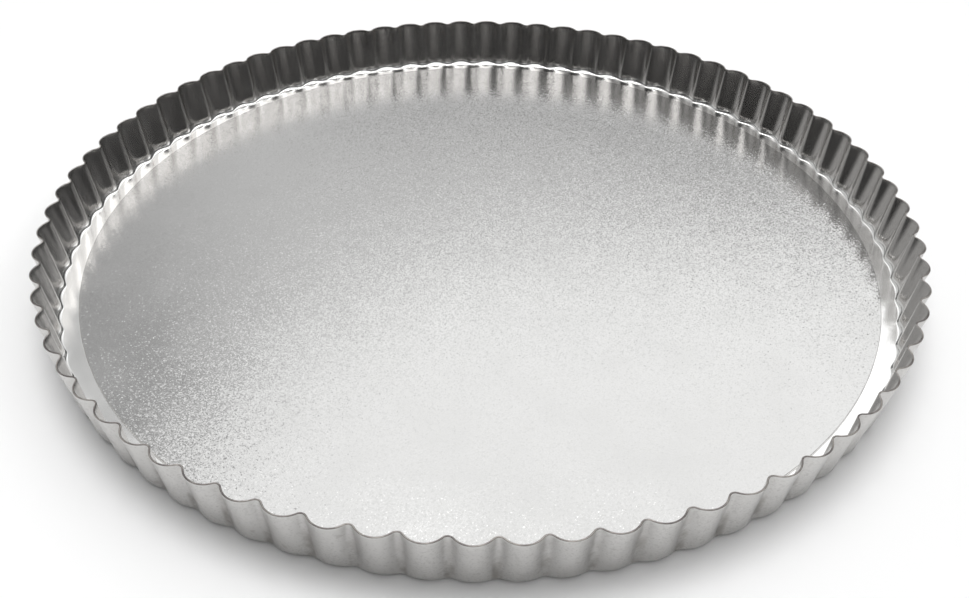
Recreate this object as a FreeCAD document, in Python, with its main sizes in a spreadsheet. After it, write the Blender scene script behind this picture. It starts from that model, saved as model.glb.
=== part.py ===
import FreeCAD, Part
import Sketcher

import math
import os

# Tart pan with a loose base, in millimetres. +Z is up, and the origin is the centre of the pan
# on the surface that it stands on. It is two pieces of thin tinned steel: a ring, whose fluted
# wall flares upwards and turns in at its foot as a narrow flange, and a flat disc that rests on
# that flange.

doc = FreeCAD.newDocument("tart_pan")

# ---------------------------------------------------------------- driving dimensions

DIMENSIONS = [
    ("height", 20.0, "table to the raw-cut rim"),
    ("rim_radius", 150.0, "outside of the flutes at the rim"),
    ("foot_radius", 146.3, "outside of the flutes where the wall's line meets the table"),
    ("flute_count", 76, "outward flutes round the wall"),
    ("rim_flute_depth", 2.75, "outside of a flute to the ridge between two flutes, at the rim"),
    ("foot_flute_depth", 1.4, "the same where the wall's line meets the table"),
    ("flange_flute_depth", 0.5, "the same where the bend runs into the flat flange"),
    ("rim_ridge_radius", 1.5, "outer face's radius in the ridge between two flutes, at the rim"),
    ("foot_ridge_radius", 3.5, "the same at the foot"),
    ("ring_sheet", 0.5, "thickness of the ring's sheet"),
    ("bend_radius", 2.2, "outer radius of the bend from wall to flange"),
    ("bend_steps", 4, "straight facets that the bend is made of"),
    ("opening_radius", 131.5, "inner edge of the flange"),
    ("base_radius", 139.2, "loose base"),
    ("base_sheet", 0.8, "thickness of the loose base"),
    ("base_edge_round", 0.15, "rounding of the loose base's punched edges"),
    ("overshoot", 2.0, "how far the flange opening's cutter runs past the metal"),
]

sheet = doc.addObject("Spreadsheet::Sheet", "dims")
for row, (alias, value, meaning) in enumerate(DIMENSIONS, start=1):
    sheet.set(f"A{row}", meaning)
    sheet.set(f"B{row}", str(value))
    sheet.setAlias(f"B{row}", alias)
doc.recompute()


def dim(alias):
    """One driving dimension, read back from the sheet."""
    return float(sheet.get(alias))


# ---------------------------------------------------------------- the fluted outline

FLUTES = int(dim("flute_count"))
PITCH = 2 * math.pi / FLUTES


def at_height(foot_alias, rim_alias, z):
    """A dimension that changes evenly from the wall's foot to its rim."""
    return dim(foot_alias) + (dim(rim_alias) - dim(foot_alias)) * z / dim("height")


def polar(radius, angle):
    return FreeCAD.Vector(radius * math.cos(angle), radius * math.sin(angle), 0)


def fluted_wire(z, inset, bent):
    """The wall's closed outline at height z, moved inwards by inset, in the plane Z = 0.

    Each flute is one broad arc that bulges outwards and runs tangent into a small ridge arc,
    which bulges inwards halfway to the next flute. An outline that is moved inwards keeps the
    arcs' centres. The flutes are shallowest where the bend starts from the flange, at bent = 0,
    and have the wall's full depth from the bend's other end, at bent = 1.
    """
    crest = at_height("foot_radius", "rim_radius", z)
    wall_depth = at_height("foot_flute_depth", "rim_flute_depth", z)
    depth = dim("flange_flute_depth") + (wall_depth - dim("flange_flute_depth")) * bent
    ridge = at_height("foot_ridge_radius", "rim_ridge_radius", z)
    ridge_centre = crest - depth + ridge
    half = PITCH / 2
    # The broad arc's radius follows from touching both its crest and the ridge arcs beside it.
    across = crest**2 + ridge_centre**2 - 2 * crest * ridge_centre * math.cos(half)
    broad = (across - ridge**2) / (2 * (crest - ridge_centre * math.cos(half) + ridge))
    edges = []
    for flute in range(FLUTES):
        middle = flute * PITCH
        centre = polar(crest - broad, middle)

        def touch(side, turn=0.0):
            """Where the broad arc meets the ridge arc on one side, turned about the axis."""
            towards = (polar(ridge_centre, middle + side * half) - centre).normalize()
            point = centre + towards * (broad - inset)
            return FreeCAD.Rotation(FreeCAD.Vector(0, 0, 1), math.degrees(turn)).multVec(point)

        crest_point = polar(crest - inset, middle)
        ridge_point = polar(crest - depth - inset, middle + half)
        edges.append(Part.Arc(touch(-1), crest_point, touch(1)).toShape())
        edges.append(Part.Arc(touch(1), ridge_point, touch(-1, PITCH)).toShape())
    return Part.Wire(edges)


# ---------------------------------------------------------------- the ring

FLARE = math.atan2(dim("rim_radius") - dim("foot_radius"), dim("height"))


def bend_stations(face_radius, floor):
    """(height, inset, bent) of one face of the sheet, from the flange round the bend to the wall.

    Both faces bend about one centre. Insets are from the wall's outer line, which leans
    outwards as it rises.
    """
    centre_inset = dim("bend_radius") * (1 - math.sin(FLARE)) / math.cos(FLARE)
    steps = int(dim("bend_steps"))
    stations = []
    for step in range(steps + 1):
        turn = (math.pi / 2 - FLARE) * step / steps
        z = floor + face_radius * (1 - math.cos(turn))
        inset = centre_inset + z * math.tan(FLARE) - face_radius * math.sin(turn)
        stations.append((z, inset, step / steps))
    return stations


def fluted_form(name, stations):
    """A closed form skinned over the fluted outlines at (height, inset, bent) stations.

    The outlines' tangent arcs come from a formula, so each is a wire made here. The form itself
    is a Part loft.
    """
    sections = []
    for number, (z, inset, bent) in enumerate(stations):
        section = doc.addObject("Part::Feature", f"{name}_section_{number}")
        section.Shape = fluted_wire(z, inset, bent)
        section.Placement = FreeCAD.Placement(FreeCAD.Vector(0, 0, z), FreeCAD.Rotation())
        sections.append(section)
    form = doc.addObject("Part::Loft", name)
    form.Sections = sections
    form.Solid = True
    form.Ruled = True
    return form


outer_stations = bend_stations(dim("bend_radius"), 0.0)
outer_stations.append((dim("height"), 0.0, 1.0))
outer_form = fluted_form("outer_form", outer_stations)

# The thickness is measured square to the wall, so along the level it is a little more.
level_sheet = dim("ring_sheet") / math.cos(FLARE)
inner_stations = bend_stations(dim("bend_radius") - dim("ring_sheet"), dim("ring_sheet"))
inner_stations.append((dim("height"), level_sheet, 1.0))
inner_form = fluted_form("inner_form", inner_stations)

pressed_pan = doc.addObject("Part::Cut", "pressed_pan")
pressed_pan.Base = outer_form
pressed_pan.Tool = inner_form

flange_opening = doc.addObject("Part::Cylinder", "flange_opening")
flange_opening.setExpression("Radius", "dims.opening_radius")
flange_opening.setExpression("Height", "dims.ring_sheet + 2 * dims.overshoot")
flange_opening.setExpression("Placement.Base.z", "-dims.overshoot")

fluted_ring = doc.addObject("Part::Cut", "fluted_ring")
fluted_ring.Label = "fluted_ring"
fluted_ring.Base = pressed_pan
fluted_ring.Tool = flange_opening


# ---------------------------------------------------------------- the loose base

loose_base = doc.addObject("PartDesign::Body", "loose_base")
loose_base.Label = "loose_base"
base_plane = next(f for f in loose_base.Origin.OriginFeatures if f.Role == "XY_Plane")

base_outline = loose_base.newObject("Sketcher::SketchObject", "base_outline")
base_outline.AttachmentSupport = [(base_plane, "")]
base_outline.MapMode = "FlatFace"
base_circle = Part.Circle(FreeCAD.Vector(0, 0, 0), FreeCAD.Vector(0, 0, 1), dim("base_radius"))
circle = base_outline.addGeometry(base_circle, False)
base_outline.addConstraint(Sketcher.Constraint("Coincident", circle, 3, -1, 1))
radius = base_outline.addConstraint(Sketcher.Constraint("Radius", circle, dim("base_radius")))
base_outline.renameConstraint(radius, "edge")
base_outline.setExpression("Constraints.edge", "dims.base_radius")

base_blank = loose_base.newObject("PartDesign::Pad", "base_blank")
base_blank.Profile = base_outline
base_blank.setExpression("Length", "dims.base_sheet")
doc.recompute()

base_edges = loose_base.newObject("PartDesign::Fillet", "base_edges")
blank_edges = enumerate(base_blank.Shape.Edges, start=1)
round_edges = [f"Edge{number}" for number, edge in blank_edges if edge.Closed]
base_edges.Base = (base_blank, round_edges)
base_edges.setExpression("Radius", "dims.base_edge_round")
loose_base.Tip = base_edges
loose_base.setExpression("Placement.Base.z", "dims.ring_sheet")

# ---------------------------------------------------------------- checks and files

doc.recompute()

for part in doc.Objects:
    if {"Invalid", "Error"} & set(part.State):
        raise RuntimeError(f"{part.Name} failed: {part.State}")

os.makedirs("parts", exist_ok=True)
for node in (fluted_ring, loose_base):
    shape = node.Shape
    if shape.isNull() or not shape.isValid() or len(shape.Solids) != 1:
        raise RuntimeError(f"{node.Label} is not one valid solid")
    shape.exportStep(f"parts/{node.Label}.step")
    box = shape.optimalBoundingBox()
    size = f"{box.XLength:.2f} x {box.YLength:.2f} x {box.ZLength:.2f} mm"
    print(f"{node.Label}: {size}, {shape.Volume:.0f} mm3")
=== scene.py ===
import math

import bpy
import numpy as np
from mathutils import Matrix, Vector


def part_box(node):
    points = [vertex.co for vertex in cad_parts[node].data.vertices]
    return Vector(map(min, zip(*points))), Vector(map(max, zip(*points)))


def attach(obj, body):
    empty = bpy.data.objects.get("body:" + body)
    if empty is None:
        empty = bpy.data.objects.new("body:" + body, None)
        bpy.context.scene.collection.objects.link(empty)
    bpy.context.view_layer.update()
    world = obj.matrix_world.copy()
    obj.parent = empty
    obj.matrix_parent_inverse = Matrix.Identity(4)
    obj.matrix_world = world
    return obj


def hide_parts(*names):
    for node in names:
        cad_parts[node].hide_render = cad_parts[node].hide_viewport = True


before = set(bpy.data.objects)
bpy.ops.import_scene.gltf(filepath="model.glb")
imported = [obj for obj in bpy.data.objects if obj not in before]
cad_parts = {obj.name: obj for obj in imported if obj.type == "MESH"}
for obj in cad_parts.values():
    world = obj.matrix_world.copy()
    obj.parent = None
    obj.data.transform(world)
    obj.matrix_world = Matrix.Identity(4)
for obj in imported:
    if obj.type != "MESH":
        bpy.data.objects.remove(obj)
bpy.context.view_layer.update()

# A loose-bottom tart pan in tinplate: a fluted ring with an inward flange at its foot, and a flat
# disc that rests on the flange. Lengths are metres, +Z is up, and the origin is the pan's centre
# on the table.

MM = 0.001
SEED = 20

# Sizes that come from the frame.
RIM_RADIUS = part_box("fluted_ring")[1].x
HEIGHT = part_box("fluted_ring")[1].z
BASE_LOW, BASE_TOP = (corner.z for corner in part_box("loose_base"))
BASE_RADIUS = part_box("loose_base")[1].x

# The pressed sheet, with the same dimensions as its CAD part.
FLUTES = 76
PITCH = 2 * math.pi / FLUTES
FOOT_RADIUS = 146.3 * MM
RIM_FLUTE_DEPTH = 2.75 * MM
FOOT_FLUTE_DEPTH = 1.4 * MM
FLANGE_FLUTE_DEPTH = 0.5 * MM
RIM_RIDGE_RADIUS = 1.5 * MM
FOOT_RIDGE_RADIUS = 3.5 * MM
RING_SHEET = 0.5 * MM
BEND_RADIUS = 2.2 * MM
OPENING_RADIUS = 131.5 * MM
FLARE = math.atan2(RIM_RADIUS - FOOT_RADIUS, HEIGHT)

rng = np.random.default_rng(SEED)


# ---------------------------------------------------------------- hand-made unevenness

def ring_noise(angles, lowest, highest):
    """Smooth random waviness round the ring, within -1 and 1.

    It has every whole number of waves per turn from lowest to highest, the short ones weaker.
    """
    waves = np.arange(lowest, highest + 1)
    phases = rng.uniform(0, 2 * math.pi, len(waves))
    weights = rng.uniform(0.4, 1.0, len(waves)) / np.sqrt(waves)
    total = np.zeros_like(angles)
    for wave, phase, weight in zip(waves, phases, weights):
        total = total + weight * np.sin(wave * angles + phase)
    return total / np.abs(total).max()


# ---------------------------------------------------------------- the fluted outline

BROAD_STEPS = 18
RIDGE_STEPS = 8
FLUTE_STEPS = BROAD_STEPS + RIDGE_STEPS


def fluted_outline(z, inset, bent=1.0):
    """Points of the wall's outline at height z, moved inwards by inset.

    Each flute is a broad arc bulging outwards that runs tangent into a small ridge arc bulging
    inwards. The centres stay where they are when the outline is moved inwards, so the sheet's two
    faces run side by side. The flutes are shallowest where the flange begins to bend up, at
    bent = 0, and have the wall's full depth from the bend's other end, at bent = 1.
    """
    rise = z / HEIGHT
    crest = FOOT_RADIUS + (RIM_RADIUS - FOOT_RADIUS) * rise
    wall_depth = FOOT_FLUTE_DEPTH + (RIM_FLUTE_DEPTH - FOOT_FLUTE_DEPTH) * rise
    depth = FLANGE_FLUTE_DEPTH + (wall_depth - FLANGE_FLUTE_DEPTH) * bent
    ridge = FOOT_RIDGE_RADIUS + (RIM_RIDGE_RADIUS - FOOT_RIDGE_RADIUS) * rise
    ridge_centre = crest - depth + ridge
    half = PITCH / 2
    across = crest**2 + ridge_centre**2 - 2 * crest * ridge_centre * math.cos(half)
    broad = (across - ridge**2) / (2 * (crest - ridge_centre * math.cos(half) + ridge))
    broad_centre = crest - broad
    touch_x = ridge_centre * math.cos(half) - broad_centre
    touch = math.atan2(ridge_centre * math.sin(half), touch_x)

    on_broad = np.linspace(-touch, touch, BROAD_STEPS, endpoint=False)
    on_ridge = math.pi + np.linspace(touch, 2 * half - touch, RIDGE_STEPS, endpoint=False)
    x = np.concatenate([
        broad_centre + (broad - inset) * np.cos(on_broad),
        ridge_centre * math.cos(half) + (ridge + inset) * np.cos(on_ridge),
    ])
    y = np.concatenate([
        (broad - inset) * np.sin(on_broad),
        ridge_centre * math.sin(half) + (ridge + inset) * np.sin(on_ridge),
    ])
    turns = np.arange(FLUTES)[:, None] * PITCH
    xs = np.cos(turns) * x - np.sin(turns) * y
    ys = np.sin(turns) * x + np.cos(turns) * y
    return np.stack([xs.ravel(), ys.ravel(), np.full(xs.size, z)], axis=1)


def bend_rows(face_radius, floor, steps):
    """Outlines of one face of the sheet, from the flat flange up round the bend to the wall."""
    centre_inset = BEND_RADIUS * (1 - math.sin(FLARE)) / math.cos(FLARE)
    rows = []
    for bent in np.linspace(0, 1, steps + 1):
        turn = (math.pi / 2 - FLARE) * bent
        z = floor + face_radius * (1 - math.cos(turn))
        inset = centre_inset + z * math.tan(FLARE) - face_radius * math.sin(turn)
        rows.append(fluted_outline(z, inset, bent))
    return rows


def piece_from_rows(name, rows, joined):
    """A smooth mesh over rows of points that each run round the pan.

    When joined, the last row also meets the first, so the form closes like a ring. Otherwise the
    first and last rows are small loops, and each is closed by one face.
    """
    count, across = len(rows), len(rows[0])
    row = np.arange(count if joined else count - 1)[:, None]
    column = np.arange(across)[None, :]
    next_row, next_column = (row + 1) % count, (column + 1) % across
    corners = [
        row * across + column,
        row * across + next_column,
        next_row * across + next_column,
        next_row * across + column,
    ]
    faces = np.stack([np.broadcast_to(c, (len(row), across)).ravel() for c in corners], axis=1)
    mesh = bpy.data.meshes.new(name)
    faces = faces.tolist()
    if not joined:
        faces.append(list(range(across))[::-1])
        faces.append([(count - 1) * across + i for i in range(across)])
    mesh.from_pydata(np.concatenate(rows).tolist(), [], faces)
    mesh.update()
    mesh.polygons.foreach_set("use_smooth", [True] * len(mesh.polygons))
    piece = bpy.data.objects.new(name, mesh)
    bpy.context.scene.collection.objects.link(piece)
    return piece


# ---------------------------------------------------------------- the ring

BEND_STEPS = 8
WALL_STEPS = 12
FLANGE_STEPS = 5
RIM_ROUND = 0.22 * MM
RIM_STEPS = 8
CUT_STEPS = 6


def flange_rows(row, z):
    """Rows from the bend inwards to the flange's punched edge."""
    angle = np.arctan2(row[:, 1], row[:, 0])
    edge_x, edge_y = OPENING_RADIUS * np.cos(angle), OPENING_RADIUS * np.sin(angle)
    edge = np.stack([edge_x, edge_y, np.full(len(row), z)], axis=1)
    return [row + (edge - row) * share for share in np.linspace(0, 1, FLANGE_STEPS + 1)[1:]]


def ring_rows():
    """Rows of the whole sheet, and which begin and end the outer wall and the rim's raw cut.

    They go up its outer face, over the rim, down its inner face and back across the flange.
    """
    level_sheet = RING_SHEET / math.cos(FLARE)
    outer = bend_rows(BEND_RADIUS, 0.0, BEND_STEPS)
    inner = bend_rows(BEND_RADIUS - RING_SHEET, RING_SHEET, BEND_STEPS)
    under = flange_rows(outer[0], 0.0)
    over = flange_rows(inner[0], RING_SHEET)
    top = HEIGHT - RIM_ROUND
    heights = np.linspace(outer[-1][0, 2], top, WALL_STEPS + 1)[1:]
    outer += [fluted_outline(z, 0.0) for z in heights]
    heights = np.linspace(inner[-1][0, 2], top, WALL_STEPS + 1)[1:]
    inner += [fluted_outline(z, level_sheet) for z in heights]
    rim = []
    for turn in np.linspace(0, math.pi, RIM_STEPS + 1)[1:-1]:
        share = (1 - math.cos(turn)) / 2
        rim.append(fluted_outline(top + RIM_ROUND * math.sin(turn), level_sheet * share))
    rim_start = len(under) + len(outer) - 1
    rim_end = rim_start + CUT_STEPS
    rows = under[::-1] + outer + rim + inner[::-1] + over
    return rows, (len(under), rim_start), (rim_start, rim_end)


OUT_OF_ROUND = 0.25 * MM
FLUTE_UNEVEN = 0.12 * MM
RIM_CUT_UNEVEN = 0.12 * MM
RIM_CUT_FADE = 6


def hand_pressed(rows):
    """The rows with the small errors of a pressed ring: out of round, uneven flutes and rim cut.

    The errors take the metal inwards, down or sideways along the rim, and fade out towards the
    foot, so the ring still lies flat and stays within its size.
    """
    angles = np.arctan2(rows[0][:, 1], rows[0][:, 0])
    oval = (ring_noise(angles, 2, 5) - 1) / 2
    uneven = (ring_noise(angles, 20, 60) - 1) / 2
    sideways = ring_noise(angles, 15, 50)
    cut = (ring_noise(angles, 6, 90) - 1) / 2
    out_x, out_y = np.cos(angles), np.sin(angles)
    move = OUT_OF_ROUND * oval + FLUTE_UNEVEN * uneven
    pressed = []
    for points in rows:
        rise = points[:, 2] / HEIGHT
        radial = move * rise
        along = FLUTE_UNEVEN * sideways * rise
        pressed.append(np.stack([
            points[:, 0] + radial * out_x - along * out_y,
            points[:, 1] + radial * out_y + along * out_x,
            points[:, 2] + RIM_CUT_UNEVEN * cut * rise**RIM_CUT_FADE,
        ], axis=1))
    return pressed


# ---------------------------------------------------------------- the loose base

BASE_EDGE = 0.18 * MM
BASE_BURR = 0.05 * MM
BASE_BOW = 0.10 * MM
BASE_AROUND = 240
BASE_ACROSS = 40
BASE_MIDDLE = 0.5 * MM
BURR_STEPS = 4
EDGE_STEPS = 6


def circle_row(radius, z):
    angles = np.arange(BASE_AROUND) * 2 * math.pi / BASE_AROUND
    heights = np.full(BASE_AROUND, z)
    return np.stack([radius * np.cos(angles), radius * np.sin(angles), heights], axis=1)


def base_rows():
    """Rows of the punched disc: out along its underside, round its edge and back over its top."""
    radii = np.linspace(BASE_MIDDLE, BASE_RADIUS - BASE_EDGE, BASE_ACROSS)
    rows = [circle_row(radius, BASE_LOW) for radius in radii]
    for turn in np.linspace(0, math.pi / 2, BURR_STEPS + 1)[1:]:
        inwards = BASE_BURR * (1 - math.sin(turn))
        rows.append(circle_row(BASE_RADIUS - inwards, BASE_LOW + BASE_BURR * (1 - math.cos(turn))))
    for turn in np.linspace(0, math.pi / 2, EDGE_STEPS + 1):
        inwards = BASE_EDGE * (1 - math.cos(turn))
        rows.append(circle_row(BASE_RADIUS - inwards, BASE_TOP - BASE_EDGE * (1 - math.sin(turn))))
    rows += [circle_row(radius, BASE_TOP) for radius in radii[::-1]]
    return rows


def bowed(rows):
    """The disc's rows, a little lower towards the middle and slightly wavy, as thin sheet is."""
    angles = np.arctan2(rows[0][:, 1], rows[0][:, 0])
    wave = (ring_noise(angles, 2, 4) - 1) / 2
    bent = []
    for points in rows:
        share = np.hypot(points[:, 0], points[:, 1]) / BASE_RADIUS
        dip = BASE_BOW * ((1 - share**2) + share**2 * (1 - share) * 2 * -wave)
        lowered = points.copy()
        lowered[:, 2] -= dip
        bent.append(lowered)
    return bent


# ---------------------------------------------------------------- shader nodes

class Nodes:
    """A short way to add shader nodes and join them."""

    def __init__(self, tree):
        self.tree = tree

    def add(self, kind, inputs=(), **settings):
        node = self.tree.nodes.new(kind)
        for name, value in settings.items():
            setattr(node, name, value)
        for socket, value in dict(inputs).items():
            self.join(value, node.inputs[socket])
        return node

    def join(self, value, socket):
        if isinstance(value, bpy.types.NodeSocket):
            self.tree.links.new(value, socket)
        else:
            socket.default_value = value

    def math(self, operation, first, second=0.0):
        node = self.add("ShaderNodeMath", {0: first, 1: second}, operation=operation)
        return node.outputs[0]

    def between(self, value, low, high, start=0.0, end=1.0):
        """start below low, end above high, and a smooth change from one to the other."""
        inputs = {"Value": value, "From Min": low, "From Max": high, "To Min": start, "To Max": end}
        node = self.add("ShaderNodeMapRange", inputs, interpolation_type="SMOOTHSTEP")
        return node.outputs["Result"]

    def spread(self, angle, degrees, start=0.0, end=1.0):
        """between for an angle in radians, over a range of degrees."""
        low, high = (math.radians(limit) for limit in degrees)
        return self.between(angle, low, high, start, end)

    def noise(self, place, scale, detail=3.0, roughness=0.5):
        inputs = {"Vector": place, "Scale": scale, "Detail": detail, "Roughness": roughness}
        return self.add("ShaderNodeTexNoise", inputs).outputs["Fac"]

    def vector(self, operation, first, second=(0, 0, 0)):
        node = self.add("ShaderNodeVectorMath", {0: first, 1: second}, operation=operation)
        return node.outputs["Vector"]

    def product(self, *factors):
        total = factors[0]
        for factor in factors[1:]:
            total = self.math("MULTIPLY", total, factor)
        return total

    def mixed(self, share, first, second):
        """The colour first where share is 0 and second where it is 1."""
        mix = self.add("ShaderNodeMixRGB", {"Fac": share, "Color1": first, "Color2": second})
        return mix.outputs["Color"]

    def stretched(self, place, turn, along, across):
        """Places turned about Z and scaled, so that a noise there makes long thin marks."""
        inputs = {"Vector": place, "Rotation": (0, 0, math.radians(turn)), "Scale": (along, across, 1.0)}
        return self.add("ShaderNodeMapping", inputs).outputs["Vector"]


# ---------------------------------------------------------------- materials

def metal(name, color, roughness):
    """A bare metal material, its nodes and its shader, with the places of the mesh's points."""
    material = bpy.data.materials.new(name)
    material.use_nodes = True
    nodes = Nodes(material.node_tree)
    shader = material.node_tree.nodes["Principled BSDF"]
    nodes.join(color, shader.inputs["Base Color"])
    nodes.join(roughness, shader.inputs["Roughness"])
    shader.inputs["Metallic"].default_value = 1.0
    place = nodes.add("ShaderNodeTexCoord").outputs["Object"]
    return material, nodes, shader, place


LEAST_TILT = 0.7
EXTRA_TILT = 2.1


def faceted(nodes, place, size, tilt, normal):
    """The normal, tilted at random on each small facet of the surface, as grains of tin are.

    Most facets tilt little, and a few up to four times as much, in proportion to tilt.
    """
    cells = nodes.add("ShaderNodeTexVoronoi", {"Vector": place, "Scale": 1.0 / size})
    centred = nodes.vector("SUBTRACT", cells.outputs["Color"], (0.5, 0.5, 0.5))
    chance = nodes.add("ShaderNodeSeparateXYZ", {"Vector": cells.outputs["Color"]}).outputs[2]
    extra = nodes.product(chance, chance, chance, EXTRA_TILT * tilt)
    strength = nodes.math("ADD", extra, LEAST_TILT * tilt)
    leaning = nodes.add("ShaderNodeVectorMath", {0: centred, "Scale": strength}, operation="SCALE")
    tilted = nodes.vector("ADD", normal, leaning.outputs["Vector"])
    return nodes.vector("NORMALIZE", tilted)


def grain_tone(nodes, place, size):
    """A random value from 0 to 1 on each small facet, most of them low."""
    cells = nodes.add("ShaderNodeTexVoronoi", {"Vector": place, "Scale": 1.0 / size})
    parts = nodes.add("ShaderNodeSeparateXYZ", {"Vector": cells.outputs["Color"]}).outputs
    return nodes.product(parts[0], parts[1])


def rub_marks(nodes, place, turns):
    """Sparse thin marks, 1 on a mark and 0 beside it, lying along each of the directions turns."""
    marks = 0.0
    patches = nodes.noise(place, 25.0, detail=2.0)
    for number, turn in enumerate(turns):
        line = nodes.noise(nodes.stretched(place, turn, 12.0, 900.0), 1.0, detail=1.0)
        thin = nodes.between(line, 0.70, 0.74)
        here = nodes.between(patches, 0.50 + 0.03 * number, 0.62 + 0.03 * number)
        marks = nodes.math("MAXIMUM", marks, nodes.product(thin, here))
    return marks


RUB_DIRECTIONS = (20, 75, 140)


def tinplate(name, light, dark, roughness, facet, tilt, rubbed_and_sheen=0.0):
    """Tinned steel, with its nodes.

    Its colour drifts between light and dark, and its gloss is uneven and dulled by rub marks as
    strong as the last argument. The tin has facets of facet metres, whose tilts are in proportion to
    tilt.
    """
    material, nodes, shader, place = metal(name, light, roughness)
    drift = nodes.between(nodes.noise(place, 60.0, detail=4.0), 0.35, 0.7, 0.0, 0.35)
    color = nodes.mixed(nodes.math("MAXIMUM", drift, grain_tone(nodes, place, facet)), light, dark)
    nodes.join(color, shader.inputs["Base Color"])

    ripple = nodes.noise(place, 0.5 / facet, detail=2.0, roughness=0.6)
    gloss = nodes.between(nodes.noise(place, 45.0), 0.3, 0.7, 0.85 * roughness, 1.15 * roughness)
    if rubbed_and_sheen:
        marks = nodes.product(rub_marks(nodes, place, RUB_DIRECTIONS), rubbed_and_sheen)
        gloss = nodes.math("ADD", gloss, nodes.product(marks, roughness))
        ripple = nodes.math("SUBTRACT", ripple, nodes.product(marks, 0.4))
    nodes.join(gloss, shader.inputs["Roughness"])
    bump = nodes.add(
        "ShaderNodeBump", {"Strength": 1.0, "Distance": 0.3 * tilt * facet, "Height": ripple})
    normal = faceted(nodes, place, facet, tilt, bump.outputs["Normal"])
    nodes.join(normal, shader.inputs["Normal"])
    return material, nodes, shader, place, color


BASE_LIGHT = (0.655, 0.654, 0.648, 1)
BASE_DARK = (0.573, 0.572, 0.564, 1)
RING_LIGHT = (0.655, 0.640, 0.625, 1)
RING_DARK = (0.590, 0.575, 0.560, 1)
STAIN = (0.33, 0.31, 0.29, 1)
# Bare cut steel for the rim, made darker than steel is as painted shade along the rim's outer edge.
SHADED_CUT_STEEL = (0.17, 0.155, 0.15, 1)
OUTSIDE_LIGHT = (0.64, 0.632, 0.620, 1)
OUTSIDE_DARK = (0.52, 0.512, 0.50, 1)
# Painted highlight: the next colour brightens the ring's flange and bend.
PAINTED_SHEEN = (0.95, 0.95, 0.94, 1)
# Painted shade: the next colour darkens the ring's foot in place of the contact shadow there.
PAINTED_FOOT_SHADE = (0.16, 0.15, 0.14, 1)


def base_metal():
    """The loose base's grainy tin, with a few rub marks."""
    return tinplate(
        "base_tinplate", BASE_LIGHT, BASE_DARK,
        roughness=0.16, facet=0.36 * MM, tilt=0.064, rubbed_and_sheen=0.12)[0]


# Heights of the painted highlight on the flange: full below the first, gone above the second.
SHEEN_BELOW = 1.6 * MM
SHEEN_GONE_ABOVE = 2.6 * MM
# Heights of the painted shade at the foot: full below the first, gone above the second.
FOOT_SHADE_BELOW = 0.3 * MM
FOOT_SHADE_GONE_ABOVE = 1.1 * MM
CUT_MARK_DEPTH = 0.02 * MM


def ring_metal():
    """The ring's inside, with a painted highlight: its colour is made almost white on the flange and its
    bend, to brighten the light they reflect.
    """
    material, nodes, shader, place, color = tinplate(
        "ring_tinplate", RING_LIGHT, RING_DARK, roughness=0.18, facet=1.2 * MM, tilt=0.006)
    height = nodes.add("ShaderNodeSeparateXYZ", {"Vector": place}).outputs[2]
    # Painted highlight: a near-white colour on the flange and low on the bend, fading out higher up.
    rubbed_and_sheen = nodes.between(height, SHEEN_BELOW, SHEEN_GONE_ABOVE, 1.0, 0.0)
    nodes.join(nodes.mixed(rubbed_and_sheen, color, PAINTED_SHEEN), shader.inputs["Base Color"])
    return material


def stained_metal_with_foot_shade():
    """The ring's outside: dull tin, stained along the folds, and darkened by painted shade where it
    meets the table.
    """
    material, nodes, shader, place, color = tinplate(
        "ring_outside_tinplate", OUTSIDE_LIGHT, OUTSIDE_DARK,
        roughness=0.36, facet=0.5 * MM, tilt=0.04)
    x, y, z = nodes.add("ShaderNodeSeparateXYZ", {"Vector": place}).outputs
    turn = nodes.product(nodes.math("ARCTAN2", y, x), FLUTES)
    fold = nodes.between(nodes.math("COSINE", turn), -0.60, -0.98)
    low = nodes.between(z, 0.3 * HEIGHT, 0.8 * HEIGHT, 1.0, 0.25)
    patchy = nodes.between(nodes.noise(place, 140.0, detail=4.0, roughness=0.65), 0.38, 0.66)
    in_folds = nodes.product(fold, low, patchy, 0.8)
    specks = nodes.between(nodes.noise(place, 260.0, detail=3.0), 0.66, 0.74, 0.0, 0.35)
    stain = nodes.math("MAXIMUM", in_folds, specks)
    stained = nodes.mixed(stain, color, STAIN)
    # Painted shade at the foot, where the ring meets the table.
    foot = nodes.between(z, FOOT_SHADE_BELOW, FOOT_SHADE_GONE_ABOVE, 0.9, 0.0)
    nodes.join(nodes.mixed(foot, stained, PAINTED_FOOT_SHADE), shader.inputs["Base Color"])
    return material


def shaded_cut_metal():
    """The raw-cut rim: bare steel without tin, with fine marks across its edge. Its colour is made
    darker than steel as painted shade, for the dark reflection along the rim's rounded outer edge.
    """
    material, nodes, shader, place = metal("rim_cut_steel_and_shade", SHADED_CUT_STEEL, 0.42)
    grain = nodes.noise(place, 1800.0, detail=3.0)
    nodes.join(nodes.between(grain, 0.3, 0.7, 0.34, 0.52), shader.inputs["Roughness"])
    tone = nodes.mixed(nodes.between(nodes.noise(place, 220.0), 0.35, 0.65), SHADED_CUT_STEEL, STAIN)
    nodes.join(tone, shader.inputs["Base Color"])
    bump = nodes.add("ShaderNodeBump", {"Strength": 1.0, "Distance": CUT_MARK_DEPTH, "Height": grain})
    nodes.join(bump.outputs["Normal"], shader.inputs["Normal"])
    return material


def cover_ring(piece, outer_rows, rim_rows):
    """The ring's finishes: stained outside with painted shade at its foot, raw-cut rim darkened by
    painted shade, and tinplate everywhere else, with a painted highlight on the flange.
    """
    for material in (ring_metal(), stained_metal_with_foot_shade(), shaded_cut_metal()):
        piece.data.materials.append(material)
    around = FLUTES * FLUTE_STEPS
    finish = np.zeros(len(piece.data.polygons), dtype=np.int32)
    for slot, (first, last) in enumerate((outer_rows, rim_rows), start=1):
        finish[first * around:last * around] = slot
    piece.data.polygons.foreach_set("material_index", finish)


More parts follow.
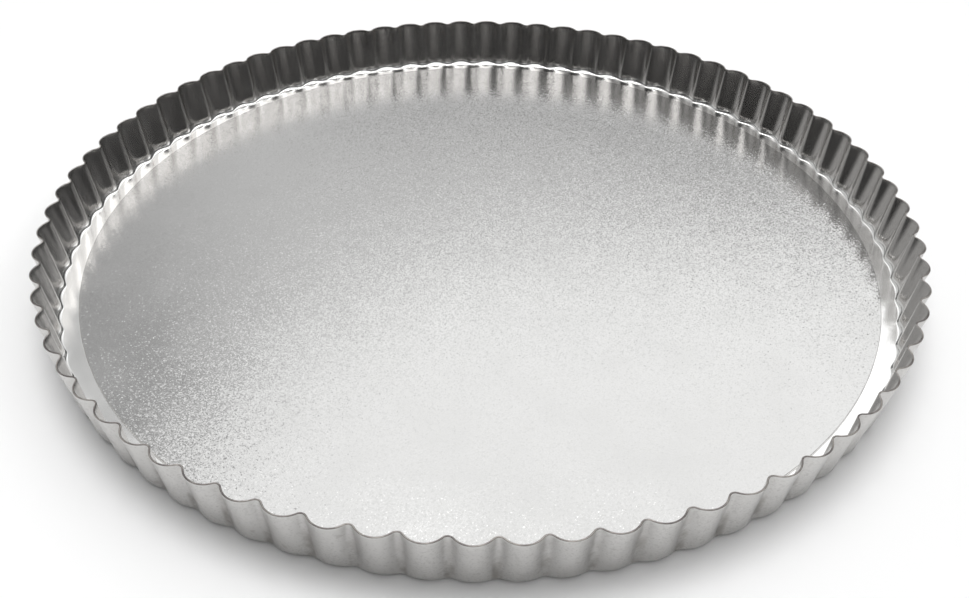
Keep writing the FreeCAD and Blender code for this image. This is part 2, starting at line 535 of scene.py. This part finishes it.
sheet_rows, outer_rows, rim_rows = ring_rows()
ring = piece_from_rows("fluted_ring_sheet", hand_pressed(sheet_rows), joined=True)
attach(ring, "ring")
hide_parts("fluted_ring")
cover_ring(ring, outer_rows, rim_rows)

base = piece_from_rows("loose_base_disc", bowed(base_rows()), joined=False)
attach(base, "base")
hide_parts("loose_base")
base.data.materials.append(base_metal())


# ---------------------------------------------------------------- the floor

FLOOR_HALF = 6.0
FLOOR_WHITE = (0.9, 0.9, 0.9, 1)
FLOOR_ROUGHNESS = 0.9


def stage_floor():
    """A wide pale floor at the table's height."""
    corners = [(-1, -1, 0), (1, -1, 0), (1, 1, 0), (-1, 1, 0)]
    mesh = bpy.data.meshes.new("floor")
    mesh.from_pydata([tuple(FLOOR_HALF * c for c in corner) for corner in corners], [], [(0, 1, 2, 3)])
    floor = bpy.data.objects.new("floor", mesh)
    bpy.context.scene.collection.objects.link(floor)
    material = bpy.data.materials.new("floor_white")
    material.use_nodes = True
    shader = material.node_tree.nodes["Principled BSDF"]
    shader.inputs["Base Color"].default_value = FLOOR_WHITE
    shader.inputs["Roughness"].default_value = FLOOR_ROUGHNESS
    floor.data.materials.append(material)


def towards(azimuth, elevation):
    """The direction at azimuth degrees from +Y towards +X and elevation degrees up."""
    turn, rise = math.radians(azimuth), math.radians(elevation)
    return (math.sin(turn) * math.cos(rise), math.cos(turn) * math.cos(rise), math.sin(rise))


# ---------------------------------------------------------------- the studio's lights

# Angles here are degrees, and a pair of them is a range over which a light changes.
ROOM = 0.03

# Round softboxes: azimuth, elevation, radius and strength.
SOFTBOXES = [
    (-8, 81, 15, 4.4),
    (-50, 60, 8, 1.0),
]
SOFTBOX_RIM = 8

BAND_AZIMUTH = 123
BAND_RIGHT = 2.5
BAND_LEFT = 0.4
BAND_BOTTOM = (34, 42)
BAND_TOP = (45, 54)

PANEL = 1.27
PANEL_RIGHT_END = (59, 99)
PANEL_HIGH = (42, 52)
PANEL_HIGH_SHARE = 0.91

# The edge between wall and panel: its elevation straight behind the pan, its half-width and its
# slope, then what the left half adds as a slope and as a curve.
EDGE_HEIGHT = 36.2
EDGE_BLUR = 2.2
EDGE_SLOPE = -0.17
LEFT_SLOPE = -0.06
LEFT_CURVE = 0.0060

WALL = 0.72
WALL_LEFT_END = (-110, -70)
WALL_LEFT_SHARE = 0.70
WALL_MIDDLE = (-30, -10)
WALL_RIGHT = (0, 40)
WALL_RIGHT_SHARE = 0.3
WALL_DIM_ABOVE = (30, 42)
WALL_DIM_LEFT_OF = (-25, -15)
WALL_DIM_SHARE = 0.7
WALL_FOOT_TURN = (-32, -8)
WALL_FOOT_LEFT = -8
WALL_FOOT_RIGHT = 20.5
WALL_FOOT_BLUR = 9


def softbox_light(nodes, direction):
    """The round softboxes, over the room's own dim light."""
    light = ROOM
    for azimuth, elevation, radius, strength in SOFTBOXES:
        ends = {0: direction, 1: towards(azimuth, elevation)}
        facing = nodes.add("ShaderNodeVectorMath", ends, operation="DOT_PRODUCT").outputs["Value"]
        outside, inside = (math.cos(math.radians(r)) for r in (radius + SOFTBOX_RIM, radius))
        lamp = nodes.between(facing, outside, inside, 0.0, strength)
        light = nodes.math("ADD", lamp, light)
    return light


def band_light(nodes, azimuth, elevation):
    """A band of light round the sides and front, brightest on the right."""
    on_right = nodes.math("COSINE", nodes.math("SUBTRACT", azimuth, math.radians(BAND_AZIMUTH)))
    strength = nodes.between(on_right, -0.4, 0.4, BAND_LEFT, BAND_RIGHT)
    in_front = nodes.between(nodes.math("COSINE", azimuth), 0.1, 0.5, 1.0, 0.0)
    bottom = nodes.spread(elevation, BAND_BOTTOM)
    top = nodes.spread(elevation, BAND_TOP, 1.0, 0.0)
    return nodes.product(bottom, top, in_front, strength)


def above_edge(nodes, azimuth, elevation):
    """How far a direction is above the edge between the wall and the panel, in radians.

    The curve is per degree squared, so in radians its number grows by the degrees in a radian.
    """
    on_left = nodes.math("MINIMUM", azimuth, 0.0)
    curve = nodes.product(on_left, on_left, math.degrees(LEFT_CURVE))
    slant = nodes.math("ADD", nodes.product(azimuth, EDGE_SLOPE), nodes.product(on_left, LEFT_SLOPE))
    edge = nodes.math("ADD", nodes.math("ADD", slant, curve), math.radians(EDGE_HEIGHT))
    return nodes.math("SUBTRACT", elevation, edge)


def panel_light(nodes, azimuth, elevation, over_edge):
    """The pale panel behind the pan, above the edge and a little weaker high up."""
    bottom = nodes.spread(over_edge, (-EDGE_BLUR, EDGE_BLUR))
    end = nodes.spread(azimuth, PANEL_RIGHT_END, 1.0, 0.0)
    high = nodes.spread(elevation, PANEL_HIGH, 1.0, PANEL_HIGH_SHARE)
    return nodes.product(bottom, end, high, PANEL)


def wall_light(nodes, azimuth, elevation, over_edge):
    """The grey wall behind the pan, below the edge.

    It is brightest straight behind the pan and dims to both sides, and on the left high up as
    well. Only on the left does it reach down to the table.
    """
    left = nodes.spread(azimuth, WALL_LEFT_END, 0.0, WALL_LEFT_SHARE)
    middle = nodes.spread(azimuth, WALL_MIDDLE, 0.0, 1.0 - WALL_LEFT_SHARE)
    right = nodes.spread(azimuth, WALL_RIGHT, 1.0, WALL_RIGHT_SHARE)
    high_left = nodes.product(
        nodes.spread(elevation, WALL_DIM_ABOVE), nodes.spread(azimuth, WALL_DIM_LEFT_OF, 1.0, 0.0))
    dimmed = nodes.between(high_left, 0.0, 1.0, 1.0, WALL_DIM_SHARE)
    foot = nodes.spread(
        azimuth, WALL_FOOT_TURN, math.radians(WALL_FOOT_LEFT), math.radians(WALL_FOOT_RIGHT))
    over_foot = nodes.spread(nodes.math("SUBTRACT", elevation, foot), (0, WALL_FOOT_BLUR))
    top = nodes.spread(over_edge, (-EDGE_BLUR, EDGE_BLUR), 1.0, 0.0)
    return nodes.product(nodes.math("ADD", left, middle), dimmed, right, over_foot, top, WALL)


def studio_light():
    """A dark studio round the pan with soft-edged lights, as a dome of directions.

    The key light is nearly overhead and a smaller one stands behind on the left.
    """
    world = bpy.data.worlds.new("studio")
    world.use_nodes = True
    nodes = Nodes(world.node_tree)
    direction = nodes.add("ShaderNodeTexCoord").outputs["Generated"]
    x, y, z = nodes.add("ShaderNodeSeparateXYZ", {"Vector": direction}).outputs
    elevation = nodes.math("ARCSINE", z)
    azimuth = nodes.math("ARCTAN2", x, y)
    over_edge = above_edge(nodes, azimuth, elevation)

    light = softbox_light(nodes, direction)
    light = nodes.math("ADD", light, band_light(nodes, azimuth, elevation))
    panel = panel_light(nodes, azimuth, elevation, over_edge)
    wall = wall_light(nodes, azimuth, elevation, over_edge)
    light = nodes.math("ADD", light, nodes.math("ADD", panel, wall))

    background = world.node_tree.nodes["Background"]
    background.inputs["Color"].default_value = (1, 1, 1, 1)
    nodes.join(light, background.inputs["Strength"])
    bpy.context.scene.world = world


# ---------------------------------------------------------------- stage and camera

stage_floor()
studio_light()
bpy.context.scene.view_settings.view_transform = "Standard"


def aim_camera(place, target, roll_degrees, lens):
    """A camera at place that looks at target, turned about its own axis."""
    data = bpy.data.cameras.new("camera")
    data.lens = lens
    data.sensor_width = 36.0
    data.clip_start = 0.01
    camera = bpy.data.objects.new("camera", data)
    bpy.context.scene.collection.objects.link(camera)
    look = (Vector(target) - Vector(place)).to_track_quat("-Z", "Y").to_matrix().to_4x4()
    roll = Matrix.Rotation(math.radians(roll_degrees), 4, "Z")
    camera.matrix_world = Matrix.Translation(place) @ look @ roll
    bpy.context.scene.camera = camera


CAMERA_PLACE = (0.0020, -0.2991, 0.2158)
CAMERA_TARGET = (0.0015, -0.0567, 0.0200)
CAMERA_ROLL = 0.95
CAMERA_LENS = 37.63
aim_camera(CAMERA_PLACE, CAMERA_TARGET, CAMERA_ROLL, CAMERA_LENS)
